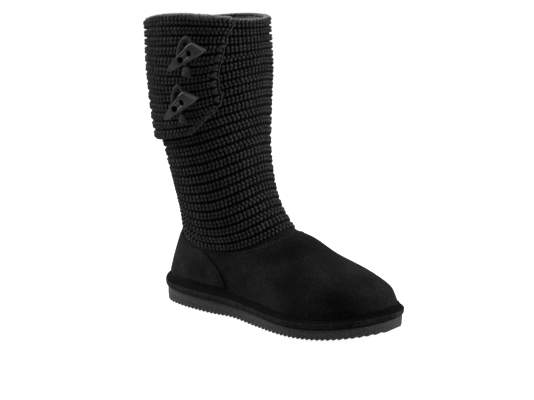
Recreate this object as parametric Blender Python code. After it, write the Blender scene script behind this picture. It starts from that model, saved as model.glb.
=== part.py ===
"""Right sweater boot: a suede foot under a ribbed knit shaft with a turned flap and two horn toggles.

Metres, +Z up, +X to the toe, +Y to the inner side of the foot, -Y to the outer side with the flap.
The origin is on the floor, in the middle of the flat spot under the heel.
"""
import functools
import math

import bmesh
import bpy
import numpy as np
from mathutils import Matrix, Vector

# Driving sizes of the foot
SOLE_LENGTH = 0.268
BALL_WIDTH = 0.0965
HEEL_SOLE = 0.0145
FORE_SOLE = 0.0105
ARCH_RISE = 0.0015
HEEL_LIFT = 0.0020
TOE_SPRING = 0.0120
TOE_SWING = 0.0050
HEEL_SPOT = 0.0350
TREAD_LAYER = 0.0050
TREAD_STEP = 0.0008
TREAD_PITCH = 0.0050
TREAD_DEPTH = 0.0013
TREAD_GROOVE = 0.30
BAND_HEIGHT = 0.0115
BAND_PROUD = 0.0022
UPPER_WALL = 0.0025
FEATHER_INSET = 0.0035
INSOLE_THICK = 0.0040
INSOLE_GAP = 0.0017
COUNTER_WALL = 0.0013
COUNTER_HEIGHT = 0.0780
SIDE_HEIGHT = 0.0640
INSTEP_HEIGHT = 0.0890

# Driving sizes of the shaft
BOOT_HEIGHT = 0.2895
RIM_BACK_DROP = 0.0145
RIM_FRONT_DROP = 0.0037
RIM_INNER_DROP = 0.0060
SHAFT_WIDTH = 0.1000
KNIT_WALL = 0.0040
KNIT_PROUD = 0.0010
RIDGES = 25
RIDGE_RELIEF = 0.0012
FLAP_RIDGES = 13
FLAP_DROP = 0.1075
FLAP_WALL = 0.0045
FLAP_FLARE = 0.0020
FLAP_PAST_BACK = 24.0

# Driving sizes of the fastening
TOGGLE_LENGTH = 0.0415
TOGGLE_WIDTH = 0.0142
TOGGLE_THICK = 0.0055
TOGGLE_HOLE = 0.0046
THONG = 0.0026

# How close separate pieces lie, and how finely round forms are divided
CLEARANCE = 0.0003
AROUND = 36
FOOT_BANDS = 10
INNER_BANDS = 7
RIDGE_STEPS = 2
FLAP_STRIPS = 18
THONG_STEPS = 3
HOLE_SIDES = 12

# Fullness of the sole's outline against an ellipse: share of length, outer side, inner side
OUTLINE = (
    (0.00, 1.16, 1.26),
    (0.05, 1.20, 1.28),
    (0.12, 1.07, 1.15),
    (0.20, 0.94, 0.98),
    (0.32, 0.82, 0.78),
    (0.42, 0.79, 0.69),
    (0.52, 0.85, 0.73),
    (0.62, 0.98, 0.89),
    (0.70, 1.08, 1.05),
    (0.78, 1.17, 1.21),
    (0.86, 1.23, 1.36),
    (0.93, 1.24, 1.46),
    (1.00, 1.18, 1.48),
)
# Stretches of the sole as shares of its length
HEEL_LIFTS = 0.09
TOE_LIFTS = 0.62
ARCH = (0.28, 0.52)
WAIST = (0.30, 0.70)
OUTER_SHARE = 0.523
INNER_SHARE = 0.477

# Sections of the foot from the sole up to the collar. back and front are shares of the sole length.
# middle is where a section is a quarter of the way round, as a share of the sole length.
# The three rises are shares of the way from the sole to the counter peak, side dip and instep.
# outer and inner are shares of the ball width, and outline goes from 1, sole shape, to 0, ellipse.
# dip says how broad the low stretch at the side is: 2 is an even wave, and more is broader.
FOOT = (
    # level, back, middle, front, back_rise, side_rise, front_rise, outer, inner, outline, dip
    (0.00, 0.013, 0.420, 0.985, 0.000, 0.000, 0.000, 0.487, 0.441, 1.00, 2.0),
    (0.14, 0.014, 0.415, 0.985, 0.160, 0.220, 0.125, 0.487, 0.441, 1.00, 2.0),
    (0.28, 0.024, 0.400, 0.978, 0.350, 0.410, 0.245, 0.480, 0.434, 0.94, 2.1),
    (0.42, 0.036, 0.380, 0.954, 0.540, 0.580, 0.404, 0.464, 0.418, 0.85, 2.2),
    (0.56, 0.048, 0.357, 0.868, 0.700, 0.720, 0.586, 0.440, 0.398, 0.68, 2.3),
    (0.70, 0.058, 0.334, 0.740, 0.825, 0.840, 0.751, 0.415, 0.380, 0.46, 2.4),
    (0.85, 0.068, 0.320, 0.641, 0.920, 0.930, 0.924, 0.392, 0.365, 0.22, 2.5),
    (1.00, 0.075, 0.3135, 0.552, 1.000, 1.000, 1.000, 0.368, 0.368, 0.00, 2.5),
)
# First stations of the sole from either tip, as shares of the tread's pitch
SOLE_TIPS = (0.01, 0.08, 0.24)
# Rolled band: share of its height, share of its width from the foot outward
BAND_FORM = (
    (0.00, 0.25),
    (0.00, 0.80),
    (0.20, 1.00),
    (0.44, 0.98),
    (0.62, 0.72),
    (0.74, 0.36),
    (1.00, 0.22),
    (0.98, 0.00),
    (0.30, 0.00),
)
# Levels of the foot behind the band's top, under the counter's lower edge and at the insole
BAND_LEVEL = 0.17
COUNTER_LEVEL = 0.19
INSOLE_LEVEL = 0.06
# Share of the foot over which the upper's wall turns to meet the knit
COLLAR_TURN = 0.2
# Level of the shaft at which the knit starts over the collar
KNIT_START = 0.004

# Sections of the shaft from the collar to the rim. back and front are shares of the sole length, the
# rises are shares of the way from the collar to the rim, and the widths are shares of SHAFT_WIDTH.
SHAFT = (
    # level, back, front, back_rise, side_rise, front_rise, outer, inner, dip
    (0.00, 0.075, 0.552, 0.000, 0.000, 0.000, 0.355, 0.355, 2.5),
    (0.12, 0.070, 0.484, 0.116, 0.095, 0.100, 0.385, 0.385, 2.2),
    (0.36, 0.040, 0.422, 0.275, 0.321, 0.353, 0.430, 0.430, 2.4),
    (0.56, -0.008, 0.420, 0.487, 0.533, 0.589, 0.470, 0.470, 2.0),
    (0.76, -0.038, 0.424, 0.757, 0.729, 0.789, 0.500, 0.500, 2.0),
    (1.00, -0.058, 0.416, 1.000, 1.000, 1.000, 0.480, 0.480, 2.0),
)

# Front seam of the heel counter: level of the foot, degrees from the heel
COUNTER_EDGE = ((0.17, 84.0), (0.40, 84.0), (0.53, 82.5), (0.70, 80.0), (0.88, 77.0))
COUNTER_FULL = math.radians(71)
# Front edge of the flap: share of its drop from the rim, degrees from the back
FLAP_EDGE = (
    (0.00, 144.5),
    (0.06, 146.0),
    (0.12, 142.5),
    (0.24, 139.0),
    (0.37, 135.3),
    (0.50, 132.2),
    (0.64, 132.4),
    (0.73, 134.0),
    (0.79, 132.5),
    (0.85, 127.5),
    (0.90, 119.5),
    (0.95, 111.5),
    (1.00, 103.0),
)
# Toggles: name, share of the flap's drop, degrees from the back, degrees that the wide end is raised
TOGGLES = (("upper", 0.325, 105.0, 28.5), ("lower", 0.723, 97.0, 25.5))
# Toggle from the tip to the wide end: shares of its length, width and thickness
TOGGLE_FORM = (
    (0.00, 0.16, 0.45),
    (0.04, 0.30, 0.52),
    (0.12, 0.44, 0.67),
    (0.30, 0.60, 1.00),
    (0.60, 0.80, 1.00),
    (0.95, 1.00, 1.00),
    (1.00, 0.94, 0.86),
)
# Cross section of a toggle: share of its half width, share of its thickness
TOGGLE_SECTION = ((-1.0, 0.25), (-0.84, 1.0), (0.84, 1.0), (1.0, 0.25), (0.7, 0.0), (-0.7, 0.0))
TOGGLE_HOLES = (0.45, 0.72)
# The wide end is cut obliquely: shift along per distance across, and the share of length where it starts
TOGGLE_SKEW = 0.62
SKEW_START = 0.5
# Thong of a toggle, seen square on: shares of the toggle's length to the right and up
THONG_PATH = (
    (-0.02, -0.34),
    (0.02, -0.18),
    (0.07, 0.02),
    (0.13, 0.20),
    (0.14, 0.36),
    (0.06, 0.45),
    (-0.05, 0.38),
    (-0.14, 0.25),
    (-0.19, 0.10),
    (-0.18, -0.06),
)

HEEL_EDGE = -HEEL_SPOT


def clear_scene():
    for item in list(bpy.data.objects):
        bpy.data.objects.remove(item, do_unlink=True)


def material(name, colour, roughness, metallic=0.0):
    made = bpy.data.materials.new(name)
    made.use_nodes = True
    shader = made.node_tree.nodes["Principled BSDF"]
    shader.inputs["Base Color"].default_value = (*colour, 1.0)
    shader.inputs["Roughness"].default_value = roughness
    shader.inputs["Metallic"].default_value = metallic
    return made


def finish(mesh, name, finish_material):
    """Turns a bmesh into a named object with outward faces and soft shading."""
    bmesh.ops.recalc_face_normals(mesh, faces=mesh.faces)
    data = bpy.data.meshes.new(name)
    mesh.to_mesh(data)
    mesh.free()
    data.shade_smooth()
    data.set_sharp_from_angle(angle=math.radians(40))
    made = bpy.data.objects.new(name, data)
    made.data.materials.append(finish_material)
    bpy.context.scene.collection.objects.link(made)
    return made


def curve(table, column, at):
    """Smooth curve through one column of a table whose first column is the station."""
    stations = np.array([row[0] for row in table])
    values = np.array([row[column] for row in table])
    slopes = np.gradient(values, stations)
    at = np.clip(at, stations[0], stations[-1])
    after = np.clip(np.searchsorted(stations, at), 1, len(stations) - 1)
    width = stations[after] - stations[after - 1]
    share = (at - stations[after - 1]) / width
    rest = 1 - share
    start = values[after - 1] * (1 + 2 * share) * rest**2 + slopes[after - 1] * width * share * rest**2
    end = values[after] * (1 + 2 * rest) * share**2 - slopes[after] * width * rest * share**2
    return start + end


@functools.lru_cache(maxsize=None)
def section(table, level):
    """All columns of a table but its first, at any level."""
    return tuple(float(curve(table, column, level)) for column in range(1, len(table[0])))


def part_way(value, start, end):
    """Share of the way from start to end, kept between 0 and 1."""
    return min(max((value - start) / (end - start), 0), 1)


def sole_sweep(share):
    """Height of the sole's flat underside, with its heel lift and toe spring."""
    return HEEL_LIFT * part_way(share, HEEL_LIFTS, 0) ** 2 + TOE_SPRING * part_way(share, TOE_LIFTS, 1) ** 2


def sole_bottom(x):
    share = (x - HEEL_EDGE) / SOLE_LENGTH
    return sole_sweep(share) + ARCH_RISE * math.sin(math.pi * part_way(share, *ARCH)) ** 2


def sole_top(x):
    share = part_way(x, HEEL_EDGE, HEEL_EDGE + SOLE_LENGTH)
    blend = part_way(share, *WAIST)
    blend = blend * blend * (3 - 2 * blend)
    return sole_sweep(share) + HEEL_SOLE + (FORE_SOLE - HEEL_SOLE) * blend


def half_width(share, inner, outline=1.0):
    """Half width of a section as a part of its full half width, at a share of its length."""
    fullness = section(OUTLINE, share)[1 if inner else 0]
    return 2 * math.sqrt(max(share * (1 - share), 0)) * (1 + (fullness - 1) * outline)


def ring_point(back, middle, front, outer, inner, heights, outline, dip, angle):
    """Point of one closed section. The angle is 0 at the back, 90 degrees on the outer side."""
    ahead = (middle - back) * (1 - math.cos(angle))
    share = ahead / (ahead + (front - middle) * (1 + math.cos(angle)))
    on_inner = math.sin(angle) < 0
    width = (inner if on_inner else outer) * half_width(share, on_inner, outline)
    swing = TOE_SWING * outline * max(share - 0.5, 0) ** 2 * 4
    at_back, at_outer, at_inner, at_front = heights
    at_side = at_inner if on_inner else at_outer
    mean = (at_back + at_front) / 2
    aside = 1 - abs(math.cos(angle)) ** dip
    height = mean + (at_back - at_front) / 2 * math.cos(angle) + (at_side - mean) * aside
    x = HEEL_EDGE + SOLE_LENGTH * (back + (front - back) * share)
    return Vector((x, (width if on_inner else -width) + swing, height))


def foot_point(level, angle):
    """Outer surface of the suede foot. Level 0 is at the sole, and level 1 at the collar."""
    back, middle, front, back_rise, side_rise, front_rise, outer, inner, outline, dip = section(FOOT, level)
    widths = (outer * BALL_WIDTH, inner * BALL_WIDTH)
    rises = (back_rise, side_rise, side_rise, front_rise)
    full = (COUNTER_HEIGHT, SIDE_HEIGHT, SIDE_HEIGHT, INSTEP_HEIGHT)
    heights = [rise * height for rise, height in zip(rises, full)]
    point = ring_point(back, middle, front, *widths, heights, outline, dip, angle)
    rise = ring_point(back, middle, front, *widths, rises, outline, dip, angle).z
    point.z += (sole_top(point.x) + CLEARANCE) * (1 - rise)
    return point


def shaft_point(level, angle):
    """Middle of the knit's outer face. Level 0 is at the collar, and level 1 at the rim."""
    back, front, back_rise, side_rise, front_rise, outer, inner, dip = section(SHAFT, level)
    rises = (back_rise, side_rise, side_rise, front_rise)
    lows = (COUNTER_HEIGHT, SIDE_HEIGHT, SIDE_HEIGHT, INSTEP_HEIGHT)
    highs = [BOOT_HEIGHT - drop for drop in (RIM_BACK_DROP, 0, RIM_INNER_DROP, RIM_FRONT_DROP)]
    heights = [low + (high - low) * rise for low, high, rise in zip(lows, highs, rises)]
    widths = (outer * SHAFT_WIDTH, inner * SHAFT_WIDTH)
    return ring_point(back, (back + front) / 2, front, *widths, heights, 0.0, dip, angle)


def outward(surface, level, angle):
    """Unit normal of a surface."""
    step = 1e-3
    low, high = max(level - step, 0), min(level + step, 1)
    along = surface(level, angle + step) - surface(level, angle - step)
    return along.cross(surface(high, angle) - surface(low, angle)).normalized()


def raised(surface, level, angle, lift):
    """Point of a surface moved outward along its normal."""
    return surface(level, angle) + outward(surface, level, angle) * lift


def upper_inside(level, angle):
    """Inner face of the upper, whose edge at the collar lines up with the knit's lower edge."""
    turned = part_way(level, 1 - COLLAR_TURN, 1)
    inward = outward(foot_point, level, angle) * (1 - turned) + outward(shaft_point, 0, angle) * turned
    return foot_point(level, angle) - inward.normalized() * UPPER_WALL


def ring_angles(count):
    return [2 * math.pi * index / count for index in range(count)]


def add_ring(mesh, points):
    return [mesh.verts.new(point) for point in points]


def bridge(mesh, first, second, closed=True):
    count = len(first)
    for index in range(count if closed else count - 1):
        after = (index + 1) % count
        mesh.faces.new((first[index], first[after], second[after], second[index]))


def cap_across(mesh, ring):
    """Closes a ring that starts at the heel with strips from side to side."""
    half = len(ring) // 2
    mesh.faces.new((ring[0], ring[1], ring[-1]))
    for index in range(1, half - 1):
        mesh.faces.new((ring[index], ring[index + 1], ring[-index - 1], ring[-index]))
    mesh.faces.new((ring[half - 1], ring[half], ring[half + 1]))


def tube_mesh(outer_rings, inner_rings):
    """Hollow tube from outer rings going up and inner rings going down, joined at both rims."""
    mesh = bmesh.new()
    rings = [add_ring(mesh, ring) for ring in outer_rings + inner_rings]
    for first, second in zip(rings, rings[1:] + rings[:1]):
        bridge(mesh, first, second)
    return mesh


def slab_mesh(outer_rows, inner_rows):
    """Closed sheet from two grids of the same size, joined round their edges."""
    mesh = bmesh.new()
    outer = [add_ring(mesh, row) for row in outer_rows]
    inner = [add_ring(mesh, row) for row in inner_rows]
    for grid in (outer, inner):
        for first, second in zip(grid, grid[1:]):
            bridge(mesh, first, second, closed=False)
    bridge(mesh, outer[0], inner[0], closed=False)
    bridge(mesh, outer[-1], inner[-1], closed=False)
    bridge(mesh, [row[0] for row in outer], [row[0] for row in inner], closed=False)
    bridge(mesh, [row[-1] for row in outer], [row[-1] for row in inner], closed=False)
    return mesh


def tread_stations():
    """Stations along the sole as (distance from the heel, groove depth). A rib's land is on the heel spot."""
    ends = [share * TREAD_PITCH for share in SOLE_TIPS]
    stations = [(end, 0.0) for end in ends]
    first = HEEL_SPOT % TREAD_PITCH + TREAD_PITCH / 2
    half = TREAD_GROOVE / 2 * TREAD_PITCH
    grooves = int((SOLE_LENGTH - ends[-1] - half - first) / TREAD_PITCH) + 1
    for groove in range(grooves):
        middle = first + groove * TREAD_PITCH
        stations += [(middle - half, 0.0), (middle, TREAD_DEPTH), (middle + half, 0.0)]
    return stations + [(SOLE_LENGTH - end, 0.0) for end in reversed(ends)]


def outsole():
    mesh = bmesh.new()
    sections = []
    outer = OUTER_SHARE * BALL_WIDTH
    inner = INNER_SHARE * BALL_WIDTH
    for along, depth in tread_stations():
        share = along / SOLE_LENGTH
        x = HEEL_EDGE + along
        swing = TOE_SWING * max(share - 0.5, 0) ** 2 * 4
        low = -outer * half_width(share, False)
        high = inner * half_width(share, True)
        step = min(TREAD_STEP, (high - low) / 4)
        bottom = sole_bottom(x)
        parting = bottom + TREAD_LAYER
        top = sole_top(x)
        profile = (
            (low, top),
            (low, parting),
            (low + step, parting - step / 2),
            (low + step, bottom + depth),
            (high - step, bottom + depth),
            (high - step, parting - step / 2),
            (high, parting),
            (high, top),
        )
        sections.append(add_ring(mesh, [(x, y + swing, z) for y, z in profile]))
    for first, second in zip(sections, sections[1:]):
        bridge(mesh, first, second)
    mesh.faces.new(sections[0])
    mesh.faces.new(list(reversed(sections[-1])))
    return finish(mesh, "outsole", material("outsole foam", (0.045, 0.046, 0.048), 0.62))


def foxing_band():
    """Rolled suede band round the foot, resting on the outsole."""
    mesh = bmesh.new()
    rings = []
    outer_edge = FEATHER_INSET + BAND_PROUD
    for up, out in BAND_FORM:
        points = []
        for angle in ring_angles(AROUND):
            level = BAND_LEVEL * up
            lift = CLEARANCE + (outer_edge - CLEARANCE) * out
            point = raised(foot_point, level, angle, lift)
            base = sole_top(point.x) + CLEARANCE
            points.append(Vector((point.x, point.y, base + BAND_HEIGHT * up)))
        rings.append(add_ring(mesh, points))
    for first, second in zip(rings, rings[1:] + rings[:1]):
        bridge(mesh, first, second)
    return finish(mesh, "foxing_band", material("band suede", (0.022, 0.022, 0.024), 0.88))


def upper():
    angles = ring_angles(AROUND)
    outer = [[foot_point(row / FOOT_BANDS, angle) for angle in angles] for row in range(FOOT_BANDS + 1)]
    inner = []
    for row in range(INNER_BANDS, -1, -1):
        level = row / INNER_BANDS
        ring = [upper_inside(level, angle) for angle in angles]
        if row == 0:
            ring = [Vector((point.x, point.y, sole_top(point.x) + CLEARANCE)) for point in ring]
        inner.append(ring)
    return finish(tube_mesh(outer, inner), "upper", material("upper suede", (0.020, 0.020, 0.022), 0.9))


def insole():
    mesh = bmesh.new()
    rings = []
    inset = UPPER_WALL + INSOLE_GAP
    for height in (0, INSOLE_THICK):
        ring = []
        for angle in ring_angles(AROUND):
            wall = raised(foot_point, INSOLE_LEVEL, angle, -inset)
            ring.append(Vector((wall.x, wall.y, sole_top(wall.x) + CLEARANCE + height)))
        rings.append(add_ring(mesh, ring))
    bridge(mesh, rings[0], rings[1])
    for ring in rings:
        cap_across(mesh, ring)
    return finish(mesh, "insole", material("insole fleece", (0.20, 0.20, 0.21), 0.95))


def heel_counter():
    """Suede overlay on the back of the foot, a fixed distance over the upper's own surface."""
    upper_level = COUNTER_EDGE[-1][0]
    rows = [row / FOOT_BANDS for row in range(FOOT_BANDS) if COUNTER_LEVEL < row / FOOT_BANDS < upper_level]
    levels = [COUNTER_LEVEL, *rows, upper_level]
    within = [angle - 2 * math.pi * (angle > math.pi) for angle in ring_angles(AROUND)]
    grids = []
    for lift in (CLEARANCE + COUNTER_WALL, CLEARANCE):
        rows = []
        for level in levels:
            edge = math.radians(float(curve(COUNTER_EDGE, 1, level)))
            sweep = [-edge, *sorted(angle for angle in within if abs(angle) < COUNTER_FULL), edge]
            rows.append([raised(foot_point, float(level), angle, lift) for angle in sweep])
        grids.append(rows)
    return finish(slab_mesh(*grids), "heel_counter", material("counter suede", (0.020, 0.020, 0.022), 0.9))


def ridge_lift(phase):
    """Height of a knitted ridge over its groove, at a phase from 0 to 1 of one ridge."""
    return RIDGE_RELIEF * (1 - 2 * abs(2 * phase - 1) ** 2)


def knit_shaft():
    angles = ring_angles(AROUND)
    outer = []
    for step in range(RIDGES * RIDGE_STEPS + 1):
        level = KNIT_START + (1 - KNIT_START) * step / (RIDGES * RIDGE_STEPS)
        lift = KNIT_PROUD + ridge_lift(step / RIDGE_STEPS % 1)
        outer.append([raised(shaft_point, level, angle, lift) for angle in angles])
    inner = []
    for row in range(INNER_BANDS, -1, -1):
        level = KNIT_START + (1 - KNIT_START) * row / INNER_BANDS
        inner.append([raised(shaft_point, level, angle, KNIT_PROUD - KNIT_WALL) for angle in angles])
    return finish(tube_mesh(outer, inner), "knit_shaft", material("shaft knit", (0.025, 0.025, 0.027), 0.92))


def flap_level(drop):
    """Level of the shaft at a share of the flap's drop from the rim."""
    return 1 - FLAP_DROP / (BOOT_HEIGHT - SIDE_HEIGHT) * drop


def flap_inner_lift(drop):
    """Distance of the flap's inner face from the shaft's reference surface."""
    return KNIT_PROUD + RIDGE_RELIEF + CLEARANCE + FLAP_FLARE * drop


def flap_outer_lift(drop):
    return flap_inner_lift(drop) + FLAP_WALL - RIDGE_RELIEF


def shaft_flap():
    """Turned knit flap over the outer side and back of the shaft, from the rim down."""
    steps = FLAP_RIDGES * RIDGE_STEPS
    outer, inner = [], []
    for step in range(steps + 1):
        drop = step / steps
        edge = math.radians(float(curve(FLAP_EDGE, 1, drop)))
        sweep = np.linspace(edge, -math.radians(FLAP_PAST_BACK), FLAP_STRIPS + 1).tolist()
        level = flap_level(drop)
        lift = flap_outer_lift(drop) + ridge_lift(step / RIDGE_STEPS % 1)
        outer.append([raised(shaft_point, level, angle, lift) for angle in sweep])
        inner.append([raised(shaft_point, level, angle, flap_inner_lift(drop)) for angle in sweep])
    return finish(slab_mesh(outer, inner), "shaft_flap", material("flap knit", (0.027, 0.027, 0.029), 0.92))


def flap_frame(drop, degrees):
    """Origin on the flap's ridges with unit vectors to the right, up and outward."""
    angle = math.radians(degrees)
    level = flap_level(drop)
    step = 1e-3
    origin = raised(shaft_point, level, angle, flap_outer_lift(drop) + RIDGE_RELIEF)
    right = (shaft_point(level, angle + step) - shaft_point(level, angle - step)).normalized()
    out = (raised(shaft_point, level, angle, 1) - shaft_point(level, angle)).normalized()
    return origin, right, out.cross(right), out


def on_flap(frame, drop, degrees, right, up, lift):
    """Point over the flap that lies a distance to the right of and above a frame's origin."""
    origin, to_right, to_up, _ = frame
    angle = math.radians(degrees)
    for _ in range(6):
        point = raised(shaft_point, flap_level(drop), angle, flap_outer_lift(drop) + RIDGE_RELIEF + lift)
        offset = point - origin
        angle += (right - offset.dot(to_right)) / (SHAFT_WIDTH / 2)
        drop -= (up - offset.dot(to_up)) / FLAP_DROP
    return point


def toggle(name, drop, degrees, raised_by):
    """Tapered horn toggle with two holes, lying over its thong."""
    mesh = bmesh.new()
    sections = []
    for along, wide, thick in TOGGLE_FORM:
        half = TOGGLE_WIDTH / 2 * wide
        high = TOGGLE_THICK * thick
        start = (along - 0.5) * TOGGLE_LENGTH
        skew = TOGGLE_SKEW * part_way(along, SKEW_START, 1)
        places = [(half * across, high * up) for across, up in TOGGLE_SECTION]
        sections.append([(start - skew * side, side, above) for side, above in places])
    rings = [add_ring(mesh, section) for section in sections]
    for first, second in zip(rings, rings[1:]):
        bridge(mesh, first, second)
    mesh.faces.new(rings[0])
    mesh.faces.new(list(reversed(rings[-1])))
    made = finish(mesh, "toggle_" + name, material("toggle horn " + name, (0.050, 0.050, 0.052), 0.42))
    frame = flap_frame(drop, degrees)
    origin, right, up, out = frame
    tilt = math.radians(raised_by)
    along = right * math.cos(tilt) + up * math.sin(tilt)
    side = out.cross(along)
    place = origin + out * (THONG + 3 * CLEARANCE)
    made.matrix_world = matrix_from(along, side, out, place)
    for share in TOGGLE_HOLES:
        cut_hole(made, place + along * (share - 0.5) * TOGGLE_LENGTH, out)
    return frame


def matrix_from(first, second, third, place):
    matrix = Matrix((first, second, third)).transposed().to_4x4()
    matrix.translation = place
    return matrix


def cut_hole(made, place, axis):
    mesh = bmesh.new()
    depth = TOGGLE_THICK * 3
    bmesh.ops.create_cone(
        mesh, cap_ends=True, segments=HOLE_SIDES, radius1=TOGGLE_HOLE / 2, radius2=TOGGLE_HOLE / 2, depth=depth
    )
    data = bpy.data.meshes.new("hole")
    mesh.to_mesh(data)
    mesh.free()
    cutter = bpy.data.objects.new("hole_cutter", data)
    bpy.context.scene.collection.objects.link(cutter)
    cutter.matrix_world = axis.to_track_quat("Z", "Y").to_matrix().to_4x4()
    cutter.location = place
    cutter.hide_render = True
    cutter.display_type = "WIRE"
    cut = made.modifiers.new("hole", "BOOLEAN")
    cut.operation = "DIFFERENCE"
    cut.object = cutter


def smooth_path(points, steps):
    """Points along a smooth curve through the given ones."""
    table = [(index, *point) for index, point in enumerate(points)]
    stations = np.linspace(0, len(points) - 1, steps)
    return [Vector([float(curve(table, column, station)) for column in (1, 2, 3)]) for station in stations]


def thong(name, drop, degrees, frame):
    """Thong that holds a toggle, both of its ends worked into the flap."""
    points = []
    for right, up in THONG_PATH:
        lift = THONG / 2 + CLEARANCE
        points.append(on_flap(frame, drop, degrees, right * TOGGLE_LENGTH, up * TOGGLE_LENGTH, lift))
    path = smooth_path(points, THONG_STEPS * len(points))
    data = bpy.data.curves.new("loop_" + name, "CURVE")
    data.dimensions = "3D"
    data.bevel_depth = THONG / 2
    data.bevel_resolution = 1
    data.use_fill_caps = True
    spline = data.splines.new("POLY")
    spline.points.add(len(path) - 1)
    for point, place in zip(spline.points, path):
        point.co = (*place, 1.0)
    made = bpy.data.objects.new("loop_" + name, data)
    made.data.materials.append(material("thong " + name, (0.045, 0.045, 0.047), 0.75))
    bpy.context.scene.collection.objects.link(made)
    return made


def build():
    clear_scene()
    outsole()
    foxing_band()
    upper()
    insole()
    heel_counter()
    knit_shaft()
    shaft_flap()
    for name, drop, degrees, raised_by in TOGGLES:
        frame = toggle(name, drop, degrees, raised_by)
        thong(name, drop, degrees, frame)


build()
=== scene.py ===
"""Looks of the right sweater boot: black suede foot, yarn stitches, horn toggles, fleece and foam.

Metres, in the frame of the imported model: +Z up, +X to the toe, -Y to the outer side with the flap.
Every piece is worked out from the same sections as the boot's solids, so it stays where they are.
"""
import math

import bmesh
import bpy
import numpy as np
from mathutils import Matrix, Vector


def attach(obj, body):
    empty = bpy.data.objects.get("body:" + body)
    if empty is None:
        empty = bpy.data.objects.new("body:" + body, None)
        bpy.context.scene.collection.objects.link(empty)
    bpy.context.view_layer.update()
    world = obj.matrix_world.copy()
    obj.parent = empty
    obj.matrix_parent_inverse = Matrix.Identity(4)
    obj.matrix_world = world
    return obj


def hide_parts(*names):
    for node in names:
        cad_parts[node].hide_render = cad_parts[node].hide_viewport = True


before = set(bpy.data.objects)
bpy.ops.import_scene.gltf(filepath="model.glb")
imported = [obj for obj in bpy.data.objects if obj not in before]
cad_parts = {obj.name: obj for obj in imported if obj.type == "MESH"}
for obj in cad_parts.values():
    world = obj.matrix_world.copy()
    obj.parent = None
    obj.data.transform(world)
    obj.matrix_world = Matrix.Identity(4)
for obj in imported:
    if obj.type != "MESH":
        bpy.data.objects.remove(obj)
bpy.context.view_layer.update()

# Sizes of the foot, as in the boot's construction
SOLE_LENGTH = 0.268
BALL_WIDTH = 0.0965
HEEL_SOLE = 0.0145
FORE_SOLE = 0.0105
ARCH_RISE = 0.0015
HEEL_LIFT = 0.0020
TOE_SPRING = 0.0120
TOE_SWING = 0.0050
HEEL_SPOT = 0.0350
TREAD_LAYER = 0.0050
TREAD_STEP = 0.0008
TREAD_PITCH = 0.0050
SCALLOP = 0.0018
BAND_HEIGHT = 0.0115
BAND_PROUD = 0.0022
UPPER_WALL = 0.0025
FEATHER_INSET = 0.0035
INSOLE_THICK = 0.0040
INSOLE_GAP = 0.0017
COUNTER_WALL = 0.0013
COUNTER_HEIGHT = 0.0780
SIDE_HEIGHT = 0.0640
INSTEP_HEIGHT = 0.0890

# Sizes of the shaft and flap
BOOT_HEIGHT = 0.2895
RIM_BACK_DROP = 0.0145
RIM_FRONT_DROP = 0.0037
RIM_INNER_DROP = 0.0060
SHAFT_WIDTH = 0.1000
KNIT_WALL = 0.0040
KNIT_PROUD = 0.0010
RIDGES = 25
RIDGE_RELIEF = 0.0012
FLAP_RIDGES = 13
FLAP_DROP = 0.1075
FLAP_WALL = 0.0045
FLAP_FLARE = 0.0020
FLAP_PAST_BACK = math.radians(24)
STITCH_PITCH = 0.0040

# Sizes of the fastening
TOGGLE_LENGTH = 0.0415
TOGGLE_WIDTH = 0.0142
TOGGLE_THICK = 0.0055
TOGGLE_HOLE = 0.0046
THONG = 0.0026
CLEARANCE = 0.0003

HEEL_EDGE = -HEEL_SPOT
HEEL_LIFTS = 0.09
TOE_LIFTS = 0.62
ARCH = (0.28, 0.52)
WAIST = (0.30, 0.70)
OUTER_SHARE = 0.523
INNER_SHARE = 0.477
BAND_LEVEL = 0.17
COUNTER_LEVEL = 0.19
INSOLE_LEVEL = 0.06
COLLAR_TURN = 0.2
KNIT_START = 0.004

# Fullness of the sole's outline against an ellipse: share of length, outer side, inner side
OUTLINE = (
    (0.00, 1.16, 1.26),
    (0.05, 1.20, 1.28),
    (0.12, 1.07, 1.15),
    (0.20, 0.94, 0.98),
    (0.32, 0.82, 0.78),
    (0.42, 0.79, 0.69),
    (0.52, 0.85, 0.73),
    (0.62, 0.98, 0.89),
    (0.70, 1.08, 1.05),
    (0.78, 1.17, 1.21),
    (0.86, 1.23, 1.36),
    (0.93, 1.24, 1.46),
    (1.00, 1.18, 1.48),
)
# Sections of the foot, as shares of the sizes above
FOOT = (
    # level, back, middle, front, back_rise, side_rise, front_rise, outer, inner, outline, dip
    (0.00, 0.013, 0.420, 0.985, 0.000, 0.000, 0.000, 0.487, 0.441, 1.00, 2.0),
    (0.14, 0.014, 0.415, 0.985, 0.160, 0.220, 0.125, 0.487, 0.441, 1.00, 2.0),
    (0.28, 0.024, 0.400, 0.978, 0.350, 0.410, 0.245, 0.480, 0.434, 0.94, 2.1),
    (0.42, 0.036, 0.380, 0.954, 0.540, 0.580, 0.404, 0.464, 0.418, 0.85, 2.2),
    (0.56, 0.048, 0.357, 0.868, 0.700, 0.720, 0.586, 0.440, 0.398, 0.68, 2.3),
    (0.70, 0.058, 0.334, 0.740, 0.825, 0.840, 0.751, 0.415, 0.380, 0.46, 2.4),
    (0.85, 0.068, 0.320, 0.641, 0.920, 0.930, 0.924, 0.392, 0.365, 0.22, 2.5),
    (1.00, 0.075, 0.3135, 0.552, 1.000, 1.000, 1.000, 0.368, 0.368, 0.00, 2.5),
)
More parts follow.
